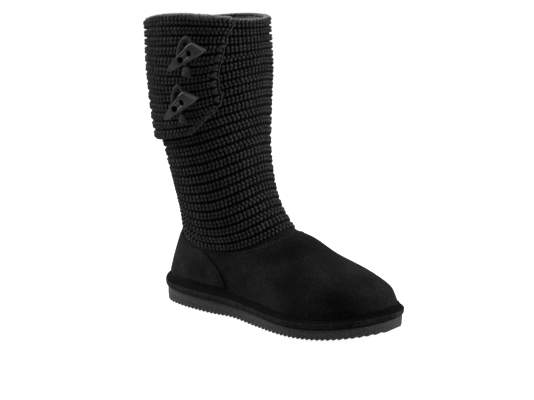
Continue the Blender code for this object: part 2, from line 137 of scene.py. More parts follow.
SHAFT = (
    # level, back, front, back_rise, side_rise, front_rise, outer, inner, dip
    (0.00, 0.075, 0.552, 0.000, 0.000, 0.000, 0.355, 0.355, 2.5),
    (0.12, 0.070, 0.484, 0.116, 0.095, 0.100, 0.385, 0.385, 2.2),
    (0.36, 0.040, 0.422, 0.275, 0.321, 0.353, 0.430, 0.430, 2.4),
    (0.56, -0.008, 0.420, 0.487, 0.533, 0.589, 0.470, 0.470, 2.0),
    (0.76, -0.038, 0.424, 0.757, 0.729, 0.789, 0.500, 0.500, 2.0),
    (1.00, -0.058, 0.416, 1.000, 1.000, 1.000, 0.480, 0.480, 2.0),
)
# Front seam of the heel counter: level of the foot, degrees from the heel
COUNTER_EDGE = ((0.17, 84.0), (0.40, 84.0), (0.53, 82.5), (0.70, 80.0), (0.88, 77.0))
# Front edge of the flap: share of its drop from the rim, degrees from the back
FLAP_EDGE = (
    (0.00, 144.5),
    (0.06, 146.0),
    (0.12, 142.5),
    (0.24, 139.0),
    (0.37, 135.3),
    (0.50, 132.2),
    (0.64, 132.4),
    (0.73, 134.0),
    (0.79, 132.5),
    (0.85, 127.5),
    (0.90, 119.5),
    (0.95, 111.5),
    (1.00, 103.0),
)
# Toggles: name, share of the flap's drop, degrees from the back, degrees that the wide end is raised
TOGGLES = (("upper", 0.325, 105.0, 28.5), ("lower", 0.723, 97.0, 25.5))
# Toggle from the tip to the wide end: shares of its length, width and thickness
TOGGLE_FORM = (
    (0.00, 0.16, 0.45),
    (0.04, 0.30, 0.52),
    (0.12, 0.44, 0.67),
    (0.30, 0.60, 1.00),
    (0.60, 0.80, 1.00),
    (0.95, 1.00, 1.00),
    (1.00, 0.94, 0.86),
)
TOGGLE_HOLES = (0.45, 0.72)
# The wide end is cut obliquely: shift along per distance across, and the share of length where it starts
TOGGLE_SKEW = 0.62
SKEW_START = 0.5
# Thong of a toggle, seen square on: shares of the toggle's length to the right and up
THONG_PATH = (
    (-0.02, -0.34),
    (0.02, -0.18),
    (0.07, 0.02),
    (0.13, 0.20),
    (0.14, 0.36),
    (0.06, 0.45),
    (-0.05, 0.38),
    (-0.14, 0.25),
    (-0.19, 0.10),
    (-0.18, -0.06),
)
# Soft troughs (depth above 0) and ridges (below 0) of the suede, each along a line between two places
CREASES = (
    # level, degrees, level, degrees, half width, depth
    (0.74, 96, 0.42, 112, 0.0110, 0.0010),
    (0.86, 122, 0.62, 118, 0.0080, 0.0006),
    (0.52, 128, 0.30, 120, 0.0120, 0.0007),
    (0.60, 100, 0.36, 97, 0.0090, -0.0005),
    (0.80, 60, 0.45, 52, 0.0090, 0.0006),
    (0.84, 158, 0.72, 140, 0.0070, 0.0005),
    (0.86, 236, 0.60, 244, 0.0090, 0.0006),
    (0.74, 262, 0.42, 250, 0.0110, 0.0009),
)

# The photograph's camera, fitted to the boot: target and distance in metres, angles in degrees
CAMERA_TARGET = (0.085, 0.0, 0.145)
CAMERA_DISTANCE = 1.40
CAMERA_AZIMUTH = 39.0
CAMERA_ELEVATION = 11.91
CAMERA_DROP = 1.267
CAMERA_LENS = 98.48

# Stitches: shares of a ridge's height and of the stitch pitch, depth in metres, angles in radians
ROW_OFFSET = 0.200
SHAFT_ROWS = 0.92
LEG_LONG = 0.222
LEG_WIDE = 0.40
LEG_DEEP = 0.0018
BACK_STRETCH = 0.46
LEG_SUNK = 0.0006
LEG_TILT = 0.50
LEG_LEAN = 0.42

# Suede pieces: rounding of the counter's edge, how far thin things sink in, and lines of stitches
COUNTER_ROUND = 0.0012
SUNK = 0.0002
ZIGZAG_LEVEL = 0.936
COUNTER_ROWS = (0.0032, 0.0050)
COUNTER_ROWS_END = 0.86
FOLD_INSET = 0.0006
# Kinds of small stitch: step along the line, width, slant in radians, share of the step that is filled
STITCHES = {
    "zigzag": (0.0034, 0.0008, 0.95, 1.25),
    "counter": (0.0032, 0.0010, 0.00, 0.75),
    "fold": (0.0016, 0.0012, 0.00, 1.60),
    "band": (0.0030, 0.0009, 0.00, 0.80),
    "slanting edge": (0.0028, 0.0020, 0.70, 1.40),
    "flap end": (0.0034, 0.0028, 0.50, 1.20),
    "hem": (0.0034, 0.0024, 0.50, 1.20),
    "selvage": (0.0021, 0.0009, 0.30, 1.30),
    "low selvage": (0.0026, 0.0013, 0.80, 1.40),
}

# Rolled band from its foot at the sole, round the roll and up the thin edge: share, up, outward
BAND_FORM = (
    (0.00, 0.00, 0.30),
    (0.07, 0.00, 0.74),
    (0.18, 0.10, 0.95),
    (0.30, 0.26, 1.00),
    (0.42, 0.44, 0.98),
    (0.52, 0.57, 0.82),
    (0.60, 0.66, 0.55),
    (0.67, 0.735, 0.30),
    (0.74, 0.79, 0.24),
    (0.84, 0.90, 0.24),
    (0.92, 0.97, 0.17),
    (1.00, 1.00, 0.02),
)
# Shares of the band: painted shade above the seam and below the tuck, and stitched
BAND_SEAM = 0.47
BAND_TUCK = 0.15
BAND_STITCHED = 0.77
BAND_STEPS = 25
BAND_RIPPLE = 0.00012

# Side of the outsole: share of the way from its top down to the parting, shares of the swell outward
SOLE_SIDE = ((0.00, -2.2), (0.05, -1.0), (0.13, 0.0), (0.55, 0.12), (0.97, 0.0), (1.00, -0.5))
SOLE_SWELL = 0.0006
# Rings of the insole: share of the way to its middle, share of its thickness
INSOLE_RINGS = ((0, 0), (0, 0.7), (0.02, 0.95), (0.06, 1.0), (0.3, 1.0), (0.6, 1.0), (0.9, 1.0), (1.0, 1.0))

# Hem of the knit over the collar: level of the foot and lift over it
KNIT_HEM = ((0.982, -0.0002), (0.985, 0.0004), (0.995, 0.0006))
WALL_SUNK = -0.0014
BLOCK_RIDGES = 9
FLAP_ROUND = 0.003
HEM_DROP = 0.992

# Front edge of the flap: share of its drop where the large stitches end, and where the rows stop short
FIRST_KNOT = 3
KNOTS_END = 0.80
LAST_KNOT = int(KNOTS_END * FLAP_RIDGES)
KNOT_MARGIN = 0.0070
SLANT_MARGIN = 0.0042
# Large stitches: spread of a pair, turn, place inside the edge, depth in the knit, half sizes
KNOT_SPREAD = 0.165
KNOT_TURN = 0.28
KNOT_INSET = 0.0043
KNOT_SUNK = 0.0004
KNOT_WIDE = 0.0033
KNOT_DEEP = 0.0014
KNOT_LONG = 0.205

# Tufts of fleece on the rim
TUFTS = 5200
TUFT_WIDTH = 0.00034
TUFT_LENGTHS = (0.0006, 0.0019)

# Bevelled edge of a toggle: share of the half width, share of the thickness
TOGGLE_EDGE = ((0.88, 1.0), (0.89, 0.99), (1.0, 0.78), (1.0, 0.20), (0.92, 0.05), (0.70, 0.0))
HOLE_MOUTH = TOGGLE_HOLE * 0.68
GROOVE_DEPTH = 0.0009
GROOVE_WIDTH = 0.0025

# Fill from the backdrop, and softboxes: name, place and size in metres, power in watts
SKY_FILL = 0.13
FLOOR_FILL = 0.42
LIGHTS = (
    ("left softbox", (-1.30, -0.30, 0.80), (0.6, 1.2), 26.0),
    ("right softbox", (1.20, 0.75, 0.80), (0.6, 1.2), 17.0),
    ("top softbox", (0.15, 0.10, 1.70), (1.0, 1.0), 9.0),
)
LIT_PLACE = (0.08, 0.0, 0.12)
FLOOR_GLOW = 0.95

RANDOM = np.random.default_rng(11)


# Forms

def curve(table, column, at):
    """Smooth curve through one column of a table whose first column is the station."""
    stations = np.array([row[0] for row in table])
    values = np.array([row[column] for row in table])
    slopes = np.gradient(values, stations)
    at = np.clip(at, stations[0], stations[-1])
    after = np.clip(np.searchsorted(stations, at), 1, len(stations) - 1)
    width = stations[after] - stations[after - 1]
    share = (at - stations[after - 1]) / width
    rest = 1 - share
    start = values[after - 1] * (1 + 2 * share) * rest**2 + slopes[after - 1] * width * share * rest**2
    end = values[after] * (1 + 2 * rest) * share**2 - slopes[after] * width * rest * share**2
    return start + end


def section(table, level):
    return [curve(table, column, level) for column in range(1, len(table[0]))]


def part_way(value, start, end):
    return np.clip((value - start) / (end - start), 0, 1)


def smooth_step(share):
    return share * share * (3 - 2 * share)


def sole_sweep(share):
    return HEEL_LIFT * part_way(share, HEEL_LIFTS, 0) ** 2 + TOE_SPRING * part_way(share, TOE_LIFTS, 1) ** 2


def sole_bottom(x):
    share = (x - HEEL_EDGE) / SOLE_LENGTH
    return sole_sweep(share) + ARCH_RISE * np.sin(math.pi * part_way(share, *ARCH)) ** 2


def sole_top(x):
    share = part_way(x, HEEL_EDGE, HEEL_EDGE + SOLE_LENGTH)
    blend = smooth_step(part_way(share, *WAIST))
    return sole_sweep(share) + HEEL_SOLE + (FORE_SOLE - HEEL_SOLE) * blend


def half_width(share, inner, outline=1.0):
    fullness = np.where(inner, curve(OUTLINE, 2, share), curve(OUTLINE, 1, share))
    return 2 * np.sqrt(np.clip(share * (1 - share), 0, 1)) * (1 + (fullness - 1) * outline)


def ring_point(back, middle, front, outer, inner, heights, outline, dip, angle):
    """Points of closed sections. The angle is 0 at the back, 90 degrees on the outer side."""
    ahead = (middle - back) * (1 - np.cos(angle))
    share = ahead / (ahead + (front - middle) * (1 + np.cos(angle)))
    on_inner = np.sin(angle) < 0
    width = np.where(on_inner, inner, outer) * half_width(share, on_inner, outline)
    swing = TOE_SWING * outline * np.clip(share - 0.5, 0, 1) ** 2 * 4
    at_back, at_outer, at_inner, at_front = heights
    at_side = np.where(on_inner, at_inner, at_outer)
    mean = (at_back + at_front) / 2
    aside = 1 - np.abs(np.cos(angle)) ** dip
    height = mean + (at_back - at_front) / 2 * np.cos(angle) + (at_side - mean) * aside
    x = HEEL_EDGE + SOLE_LENGTH * (back + (front - back) * share)
    return np.stack([x, np.where(on_inner, width, -width) + swing, height], axis=-1)


def foot_point(level, angle):
    """Outer surface of the suede foot. Level 0 is at the sole, and level 1 at the collar."""
    level, angle = np.broadcast_arrays(level, angle)
    back, middle, front, back_rise, side_rise, front_rise, outer, inner, outline, dip = section(FOOT, level)
    widths = (outer * BALL_WIDTH, inner * BALL_WIDTH)
    rises = (back_rise, side_rise, side_rise, front_rise)
    full = (COUNTER_HEIGHT, SIDE_HEIGHT, SIDE_HEIGHT, INSTEP_HEIGHT)
    heights = [rise * height for rise, height in zip(rises, full)]
    point = ring_point(back, middle, front, *widths, heights, outline, dip, angle)
    rise = ring_point(back, middle, front, *widths, rises, outline, dip, angle)[..., 2]
    point[..., 2] += (sole_top(point[..., 0]) + CLEARANCE) * (1 - rise)
    return point


def shaft_point(level, angle):
    """Middle of the knit's outer face. Level 0 is at the collar, and level 1 at the rim."""
    level, angle = np.broadcast_arrays(level, angle)
    back, front, back_rise, side_rise, front_rise, outer, inner, dip = section(SHAFT, level)
    rises = (back_rise, side_rise, side_rise, front_rise)
    lows = (COUNTER_HEIGHT, SIDE_HEIGHT, SIDE_HEIGHT, INSTEP_HEIGHT)
    highs = [BOOT_HEIGHT - drop for drop in (RIM_BACK_DROP, 0, RIM_INNER_DROP, RIM_FRONT_DROP)]
    heights = [low + (high - low) * rise for low, high, rise in zip(lows, highs, rises)]
    widths = (outer * SHAFT_WIDTH, inner * SHAFT_WIDTH)
    return ring_point(back, (back + front) / 2, front, *widths, heights, 0.0, dip, angle)


def unit(vectors):
    return vectors / np.maximum(np.linalg.norm(vectors, axis=-1, keepdims=True), 1e-12)


def outward(surface, level, angle):
    """Unit normals of a surface."""
    step = 1e-3
    low, high = np.maximum(level - step, 0), np.minimum(level + step, 1)
    along = surface(level, angle + step) - surface(level, angle - step)
    return unit(np.cross(along, surface(high, angle) - surface(low, angle)))


def raised(surface, level, angle, lift):
    lift = np.asarray(lift)[..., None]
    return surface(level, angle) + outward(surface, level, angle) * lift


def upper_inside(level, angle):
    """Inner face of the upper, whose edge at the collar lines up with the knit's lower edge."""
    turned = part_way(level, 1 - COLLAR_TURN, 1)[..., None]
    collar = outward(shaft_point, np.zeros_like(level), angle)
    inward = unit(outward(foot_point, level, angle) * (1 - turned) + collar * turned)
    return foot_point(level, angle) - inward * UPPER_WALL


def flap_level(drop):
    return 1 - FLAP_DROP / (BOOT_HEIGHT - SIDE_HEIGHT) * drop


def flap_inner_lift(drop):
    return KNIT_PROUD + RIDGE_RELIEF + CLEARANCE + FLAP_FLARE * drop


def flap_outer_lift(drop):
    return flap_inner_lift(drop) + FLAP_WALL - RIDGE_RELIEF


def flap_point(drop, angle, lift=0.0):
    return raised(shaft_point, flap_level(drop), angle, flap_outer_lift(drop) + lift)


def grid(first, second):
    return np.meshgrid(np.asarray(first, float), np.asarray(second, float), indexing="ij")


def round_angles(count):
    return np.linspace(0, 2 * math.pi, count, endpoint=False)


def rounding(share):
    """Quarter round: 0 at an edge, and 1 from a whole radius inside it."""
    return np.sqrt(np.clip(1 - (1 - np.clip(share, 0, 1)) ** 2, 0, 1))


# Meshes

def link_object(name, data):
    made = bpy.data.objects.new(name, data)
    bpy.context.scene.collection.objects.link(made)
    return made


def link_mesh(name, mesh):
    """Object from a mesh under construction, which is freed."""
    data = bpy.data.meshes.new(name)
    mesh.to_mesh(data)
    mesh.free()
    return link_object(name, data)


def make_piece(name, vertices, faces, materials, slot, replaces=(), face_materials=None):
    """Object from arrays of vertices and of faces, riding on the boot."""
    data = bpy.data.meshes.new(name)
    faces = np.asarray(faces, dtype=np.int32)
    count, sides = faces.shape
    data.vertices.add(len(vertices))
    data.vertices.foreach_set("co", np.asarray(vertices, dtype=np.float32).ravel())
    data.loops.add(count * sides)
    data.loops.foreach_set("vertex_index", faces.ravel())
    data.polygons.add(count)
    data.polygons.foreach_set("loop_start", np.arange(0, count * sides, sides, dtype=np.int32))
    data.polygons.foreach_set("use_smooth", np.full(count, True))
    if face_materials is not None:
        data.polygons.foreach_set("material_index", np.asarray(face_materials, dtype=np.int32))
    data.update(calc_edges=True)
    for material in materials:
        data.materials.append(material)
    made = link_object(name, data)
    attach(made, "root")
    if replaces:
        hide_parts(*replaces)


def make_hollow(name, sections, materials, slot, replaces, row_materials):
    """Piece whose rings go along the outside and back along the inside."""
    rings = np.concatenate(sections)
    rows, columns = rings.shape[:2]
    faces = grid_faces(rows, columns, closed_rows=True, closed_columns=True)
    which = np.asarray(row_materials).repeat(columns)
    make_piece(name, rings.reshape(-1, 3), faces, materials, slot, replaces, which)


def make_merged(name, parts, material, slot):
    """Piece made of several (vertices, faces) parts, whose faces all have as many sides."""
    vertices, faces, start = [], [], 0
    for part_vertices, part_faces in parts:
        vertices.append(part_vertices)
        faces.append(part_faces + start)
        start += len(part_vertices)
    make_piece(name, np.concatenate(vertices), np.concatenate(faces), [material], slot)


def grid_faces(rows, columns, closed_rows=False, closed_columns=False):
    """Quads of a grid of vertices, which may join up in either direction."""
    row = np.arange(rows if closed_rows else rows - 1)
    column = np.arange(columns if closed_columns else columns - 1)
    r, c = np.meshgrid(row, column, indexing="ij")
    r1, c1 = (r + 1) % rows, (c + 1) % columns
    corners = [r * columns + c, r * columns + c1, r1 * columns + c1, r1 * columns + c]
    return np.stack(corners, axis=-1).reshape(-1, 4)


def shell(outer, inner, flipped=False):
    """Vertices and faces of a closed shell between two grids of points."""
    rows, columns = outer.shape[:2]
    size = rows * columns
    faces = grid_faces(rows, columns)
    front, behind = (faces[:, ::-1], faces) if flipped else (faces, faces[:, ::-1])
    rim = [np.arange(columns), np.arange(columns) + (rows - 1) * columns]
    rim += [np.arange(rows) * columns, np.arange(rows) * columns + columns - 1]
    walls = [np.stack([line[:-1], line[1:], line[1:] + size, line[:-1] + size], axis=-1) for line in rim]
    return np.concatenate([outer, inner]).reshape(-1, 3), np.concatenate([front, behind + size, *walls])


def blob_form(around=8, along=6):
    """Vertices and triangles of a unit ball with its poles on Z."""
    mesh = bmesh.new()
    bmesh.ops.create_uvsphere(mesh, u_segments=around, v_segments=along, radius=1.0)
    bmesh.ops.triangulate(mesh, faces=mesh.faces)
    vertices = np.array([vertex.co[:] for vertex in mesh.verts])
    triangles = np.array([[vertex.index for vertex in face.verts] for face in mesh.faces])
    mesh.free()
    return vertices, triangles


def copies(form, places, axes, sizes, scale=1.0):
    """One form repeated, with unit vectors for its x, y and z and its half sizes along them."""
    vertices, triangles = form
    sizes = np.stack(np.broadcast_arrays(*sizes, places[:, 0])[:3], axis=-1) * scale
    scaled = vertices[None] * sizes[:, None, :]
    made = places[:, None, :] + np.einsum("nvk,nkd->nvd", scaled, np.stack(axes, axis=1))
    shift = np.arange(len(places))[:, None, None] * len(vertices)
    return made.reshape(-1, 3), (triangles[None] + shift).reshape(-1, 3)


def at_back(angle):
    """From 0 on the front half to 1 round the back, where the knit is stretched."""
    return smooth_step(part_way(np.cos(angle), -0.35, 0.45))


def evenly(at, first, last):
    """Angles that divide a line at(angle) into stitches, wider where the knit is stretched."""
    samples = np.linspace(first, last, 500)
    steps = np.linalg.norm(np.diff(at(samples), axis=0), axis=1) / (1 + BACK_STRETCH * at_back(samples[1:]))
    run = np.concatenate([[0], np.cumsum(steps)])
    count = max(int(round(run[-1] / STITCH_PITCH)), 1)
    return np.interp((np.arange(count) + 0.5) / count * run[-1], run, samples)


def frames_at(at, level, angle):
    """Unit vectors along a course, up the surface and out of it, and the length of one unit of level."""
    step = 2e-3
    along = unit(at(level, angle + step, 0.0) - at(level, angle - step, 0.0))
    up = (at(level + step, angle, 0.0) - at(level - step, angle, 0.0)) / (2 * step)
    scale = np.linalg.norm(up, axis=-1)
    out = unit(np.cross(along, up))
    return along, unit(np.cross(out, along)), out, scale


def turned(first, second, radians):
    """Two perpendicular vectors turned together, the first towards the second."""
    cosine, sine = np.cos(radians)[..., None], np.sin(radians)[..., None]
    return first * cosine + second * sine, second * cosine - first * sine


# Materials

def map_range(tree, source, low, high, from_value, to_value):
    """Node that maps low..high of a source to from_value..to_value."""
    node = tree.nodes.new("ShaderNodeMapRange")
    tree.links.new(source, node.inputs["Value"])
    values = {"From Min": low, "From Max": high, "To Min": from_value, "To Max": to_value}
    for name, value in values.items():
        node.inputs[name].default_value = value
    return node


class Nodes:
    """Short way to add shader nodes to one material."""

    def __init__(self, name, colour, roughness, **sockets):
        self.material = bpy.data.materials.new(name)
        self.material.use_nodes = True
        self.tree = self.material.node_tree
        self.shader = self.tree.nodes["Principled BSDF"]
        self.set("Base Color", (*colour, 1.0))
        self.set("Roughness", roughness)
        for key, value in sockets.items():
            self.set(key.replace("_", " "), value)
        self.place = self.tree.nodes.new("ShaderNodeTexCoord").outputs["Object"]

    def set(self, name, value):
        self.shader.inputs[name].default_value = value

    def link(self, source, target):
        self.tree.links.new(source, target)

    def node(self, kind, **values):
        """New node with values for its inputs."""
        made = self.tree.nodes.new("ShaderNode" + kind)
        for name, value in values.items():
            made.inputs[name].default_value = value
        return made

    def noise(self, scale, detail=3.0, roughness=0.55, stretch=None):
        node = self.node("TexNoise", Scale=scale, Detail=detail, Roughness=roughness)
        self.link(self.stretched(stretch), node.inputs["Vector"])
        return node.outputs["Fac"]

    def cells(self, scale):
        node = self.node("TexVoronoi", Scale=scale)
        self.link(self.place, node.inputs["Vector"])
        return node.outputs["Distance"]

    def stretched(self, stretch):
        if stretch is None:
            return self.place
        node = self.node("Mapping", Scale=stretch)
        self.link(self.place, node.inputs["Vector"])
        return node.outputs["Vector"]

    def ramp(self, source, *limits):
        """A source mapped from its low..high to from_value..to_value."""
        return map_range(self.tree, source, *limits).outputs["Result"]

    def times(self, first, second):
        node = self.node("Math")
        node.operation = "MULTIPLY"
        self.link(first, node.inputs[0])
        self.link(second, node.inputs[1])
        return node.outputs[0]

    def colour(self, factor, dark, light):
        """Colour between dark and light by a factor from 0 to 1."""
        node = self.node("Mix")
        node.data_type = "RGBA"
        node.inputs[6].default_value = (*dark, 1.0)
        node.inputs[7].default_value = (*light, 1.0)
        self.link(factor, node.inputs[0])
        self.link(node.outputs[2], self.shader.inputs["Base Color"])

    def bump(self, *layers):
        """Bump layers of (height source, distance in metres, strength), the first at the bottom."""
        before = None
        for height, distance, strength in layers:
            node = self.node("Bump", Distance=distance, Strength=strength)
            self.link(height, node.inputs["Height"])
            if before is not None:
                self.link(before, node.inputs["Normal"])
            before = node.outputs["Normal"]
        self.link(before, self.shader.inputs["Normal"])


def grey(value):
    return (value, value, value * 1.02)


def suede(name, dark, light, sheen):
    made = Nodes(name, grey(dark), 0.92, Sheen_Weight=sheen, Sheen_Roughness=0.45, Specular_IOR_Level=0.05)
    made.set("Sheen Tint", (0.62, 0.62, 0.64, 1.0))
    patches = made.ramp(made.noise(38, 4.0, 0.6), 0.34, 0.68, 0.22, 1.0)
    nap = made.ramp(made.noise(640, 2.0, 0.6), 0.36, 0.64, 0.25, 1.0)
    made.colour(made.times(patches, nap), grey(dark), grey(light))
    made.bump((made.noise(380, 3.0, 0.6), 0.0010, 0.8), (made.noise(1500, 2.0), 0.0003, 0.6))
    return made.material


def yarn(name, dark, light):
    made = Nodes(name, grey(dark), 0.85, Specular_IOR_Level=0.08)
    patches = made.ramp(made.noise(90, 2.0), 0.3, 0.7, 0.3, 1.0)
    fibres = made.ramp(made.noise(1900, 3.0), 0.3, 0.7, 0.3, 1.0)
    made.colour(made.times(patches, fibres), grey(dark), grey(light))
    made.bump((made.noise(1200, 3.0), 0.0005, 0.7), (made.noise(4200, 2.0), 0.00015, 0.6))
    return made.material


def fleece(name, dark, light):
    made = Nodes(name, grey(dark), 0.95, Sheen_Weight=0.6, Sheen_Roughness=0.6, Specular_IOR_Level=0.2)
    made.colour(made.ramp(made.noise(420, 4.0, 0.7), 0.3, 0.7, 0.0, 1.0), grey(dark), grey(light))
    made.bump((made.noise(170, 3.0), 0.0026, 0.9), (made.noise(1100, 3.0), 0.0010, 0.9))
    return made.material


def foam(name, dark, light):
    made = Nodes(name, grey(dark), 0.72, Specular_IOR_Level=0.35)
    speck = made.ramp(made.noise(700, 3.0, 0.7), 0.36, 0.64, 0.0, 1.0)
    made.colour(speck, grey(dark), grey(light))
    made.bump((made.noise(300, 2.0), 0.0005, 0.3), (made.cells(900), 0.0004, 0.6))
    return made.material


def horn(name, dark, light):
    made = Nodes(name, grey(dark), 0.46, Coat_Weight=0.12, Coat_Roughness=0.35, Specular_IOR_Level=0.35)
    streaks = made.noise(160, 4.0, 0.6, stretch=(0.25, 1.0, 1.0))
    made.colour(made.ramp(streaks, 0.35, 0.65, 0.0, 1.0), grey(dark), grey(light))
    made.bump((made.noise(700, 3.0), 0.00012, 0.4),)
    return made.material


def thread(name, value):
    made = Nodes(name, grey(value), 0.7, Specular_IOR_Level=0.15)
    made.bump((made.noise(3000, 2.0), 0.0001, 0.5),)
    return made.material


# Foot

def crease_lift(points):
    """Troughs and ridges pressed into the suede by wear."""
    lift = np.zeros(points.shape[:-1])
    for level, degrees, end_level, end_degrees, width, depth in CREASES:
        start = foot_point(np.array(level), np.array(math.radians(degrees)))
        end = foot_point(np.array(end_level), np.array(math.radians(end_degrees)))
        run = end - start
        share = np.clip((points - start) @ run / (run @ run), 0, 1)
        away = np.linalg.norm(points - start - share[..., None] * run, axis=-1)
        lift -= depth * np.exp(-((away / width) ** 2)) * np.sin(math.pi * (0.15 + 0.7 * share))
    return lift


def foot_skin(level, angle, lift=0.0):
    """The suede surface with its creases."""
    points = foot_point(level, angle)
    full = crease_lift(points) * smooth_step(part_way(level, 0.16, 0.30)) + lift
    return points + outward(foot_point, level, angle) * full[..., None]


def build_upper(suede_material, lining):
    around = round_angles(288)
    outer = foot_skin(*grid(np.linspace(0, 1, 110), around))
    inner = upper_inside(*grid(np.linspace(1, 0, 40), around))
    inner[-1, :, 2] = sole_top(inner[-1, :, 0]) + CLEARANCE
    which = [0] * len(outer) + [1] * len(inner)
    make_hollow("suede_upper", [outer, inner], [suede_material, lining], "upper_suede", ["upper"], which)


def counter_edge(level):
    return np.radians(curve(COUNTER_EDGE, 1, level))


def build_counter(material):
    """Overlay round the heel with a rolled edge that turns down onto the upper."""
    levels = np.linspace(COUNTER_LEVEL, COUNTER_EDGE[-1][0], 70)
    level, share = grid(levels, np.linspace(-1, 1, 150))
    angle = share * counter_edge(level)
    from_edge = (1 - np.abs(share)) * counter_edge(level) * BALL_WIDTH / 2
    from_top = (levels[-1] - level) * COUNTER_HEIGHT
    top = rounding(np.minimum(from_edge, from_top) / COUNTER_ROUND)
    outer = foot_skin(level, angle, CLEARANCE + COUNTER_WALL * top)
    vertices, faces = shell(outer, foot_skin(level, angle, -SUNK))
    make_piece("suede_counter", vertices, faces, [material], "counter_suede", ["heel_counter"])


def along_run(at, run, values):
    """Values between the points of a line, at distances along it."""
    return np.stack([np.interp(at, run, values[:, axis]) for axis in range(3)], axis=-1)


def stitches(line, kind):
    """Short stitches that follow a line of points and normals, each lying on the surface."""
    points, normals = line
    length, width, slant, filled = STITCHES[kind]
    run = np.concatenate([[0], np.cumsum(np.linalg.norm(np.diff(points, axis=0), axis=1))])
    count = int(run[-1] / length)
    at = (np.arange(count) + 0.5) / count * run[-1]
    places = along_run(at, run, points)
    out = unit(along_run(at, run, normals))
    along = unit(along_run(at + length / 4, run, points) - places + 1e-9)
    side = unit(np.cross(out, along))
    along, side = turned(along, side, slant * np.where(np.arange(count) % 2, 1, -1))
    axes = (side, unit(np.cross(along, side)), along)
    return copies(blob_form(6, 5), places, axes, (width / 2, width / 2, length * 0.42 * filled))


def line_on(surface, levels, angles, lift):
    """Points and normals of a line on a surface."""
    return raised(surface, levels, angles, lift), outward(surface, levels, angles)


def counter_line(side, away, lift):
    """Points and normals beside the counter's front seam, a distance behind its edge."""
    levels = np.linspace(COUNTER_LEVEL + 0.01, COUNTER_ROWS_END, 80)
    angles = side * (counter_edge(levels) - away / (BALL_WIDTH / 2))
    return line_on(foot_skin, levels, angles, CLEARANCE + lift)


def build_seams(material, fold_highlight_material):
    """Zigzag round the collar, double rows beside the counter's seam, and the counter's folded edge, whose
    lighter suede is a painted highlight.
    """
    around = np.linspace(0, 2 * math.pi, 500)
    parts = [stitches(line_on(foot_point, ZIGZAG_LEVEL, around, SUNK), "zigzag")]
    folds = []
    for side in (-1, 1):
        for away in COUNTER_ROWS:
            parts.append(stitches(counter_line(side, away, COUNTER_WALL + SUNK), "counter"))
        folds.append(stitches(counter_line(side, FOLD_INSET, COUNTER_WALL * 0.8), "fold"))
    make_merged("seam_thread", parts, material, "upper_suede")
    # Painted highlight: the folded edge is a bead of lighter suede
    make_merged("counter_fold", folds, fold_highlight_material, "counter_suede")


def band_point(share, angle):
    up, out = np.clip(curve(BAND_FORM, 1, share), 0, 1), curve(BAND_FORM, 2, share)
    lift = CLEARANCE + (FEATHER_INSET + BAND_PROUD - CLEARANCE) * out
    point = raised(foot_point, BAND_LEVEL * up, angle, lift)
    point[..., 2] = sole_top(point[..., 0]) + CLEARANCE + BAND_HEIGHT * up
    return point


def build_band(material, crease_shade_material, thread_material):
    """Rolled band with painted shade on the tuck below the roll and on the stitched edge above it, and a
    fine ripple.
    """
    share, angle = grid(np.linspace(0, 1, BAND_STEPS + 1), round_angles(420))
    ripple = BAND_RIPPLE * np.sin(angle * 97 + 3 * np.sin(angle * 5)) * np.sin(math.pi * share)
    outer = band_point(share, angle) + outward(band_point, share, angle) * ripple[..., None]
    inner = np.stack([outer[-1] + (outer[0] - outer[-1]) * part for part in (0.35, 0.7)])
    at = np.arange(BAND_STEPS + 3) / BAND_STEPS
    # Painted shade: the crease above the roll and the tuck below it take a darker copy of the suede
    dark = (at > BAND_SEAM) | (at < BAND_TUCK)
    materials = [material, crease_shade_material]
    make_hollow("suede_band", [outer, inner], materials, "band_suede", ["foxing_band"], dark)
    line = line_on(band_point, BAND_STITCHED, np.linspace(0, 2 * math.pi, 700), SUNK)
    make_merged("band_thread", [stitches(line, "band")], thread_material, "band_suede")


def outsole_sections():
    """Stations along the sole, closer together at its tips, with the depth of the tread's scallops."""
    middle = np.linspace(0.004, 0.996, int(SOLE_LENGTH / TREAD_PITCH * 14))
    tip = 0.004 * np.linspace(0.02, 0.9, 7) ** 2
    along = np.concatenate([tip, middle, 1 - tip[::-1]]) * SOLE_LENGTH
    across = 2 * (((along - HEEL_SPOT) / TREAD_PITCH + 0.5) % 1) - 1
    return along, SCALLOP * across**2


def build_outsole(material):
    along, depth = outsole_sections()
    share = along / SOLE_LENGTH
    x = HEEL_EDGE + along
    swing = TOE_SWING * np.clip(share - 0.5, 0, 1) ** 2 * 4
    outer = OUTER_SHARE * BALL_WIDTH * half_width(share, np.zeros(len(x), bool))
    inner = INNER_SHARE * BALL_WIDTH * half_width(share, np.ones(len(x), bool))
    bottom, top = sole_bottom(x), sole_top(x)
    parting = bottom + TREAD_LAYER
    # Height and distance outward of each line along the side, narrowing at the sole's tips
    side = [(top + (parting - top) * down, out * SOLE_SWELL) for down, out in SOLE_SIDE]
    side += [
        (parting - TREAD_STEP * 0.6, -TREAD_STEP * 0.6),
        (bottom + SCALLOP + 0.0006, -(TREAD_STEP * 0.3 + depth * 0.2)),
        (bottom + depth + 0.0004, -(TREAD_STEP * 0.4 + depth * 0.8)),
        (bottom + depth + 0.0001, -(TREAD_STEP * 0.7 + depth * 0.9)),
        (bottom + depth, -(TREAD_STEP + SOLE_SWELL + depth)),
    ]
    room = np.minimum(1, np.minimum(outer, inner) / 0.006)
    half = [np.stack([x, swing - outer - out * room, height], axis=-1) for height, out in side]
    other = [np.stack([x, swing + inner + out * room, height], axis=-1) for height, out in reversed(side)]
    rings = np.stack(half + other, axis=1)
    columns = rings.shape[1]
    ends = []
    for row, order in ((0, -1), (len(x) - 1, 1)):
        for step in range(columns // 2 - 1):
            quad = np.array([step, step + 1, columns - 2 - step, columns - 1 - step])
            ends.append(row * columns + quad[::order])
    faces = np.concatenate([grid_faces(len(x), columns, closed_columns=True), ends])
    make_piece("foam_outsole", rings.reshape(-1, 3), faces, [material], "outsole_foam", ["outsole"])


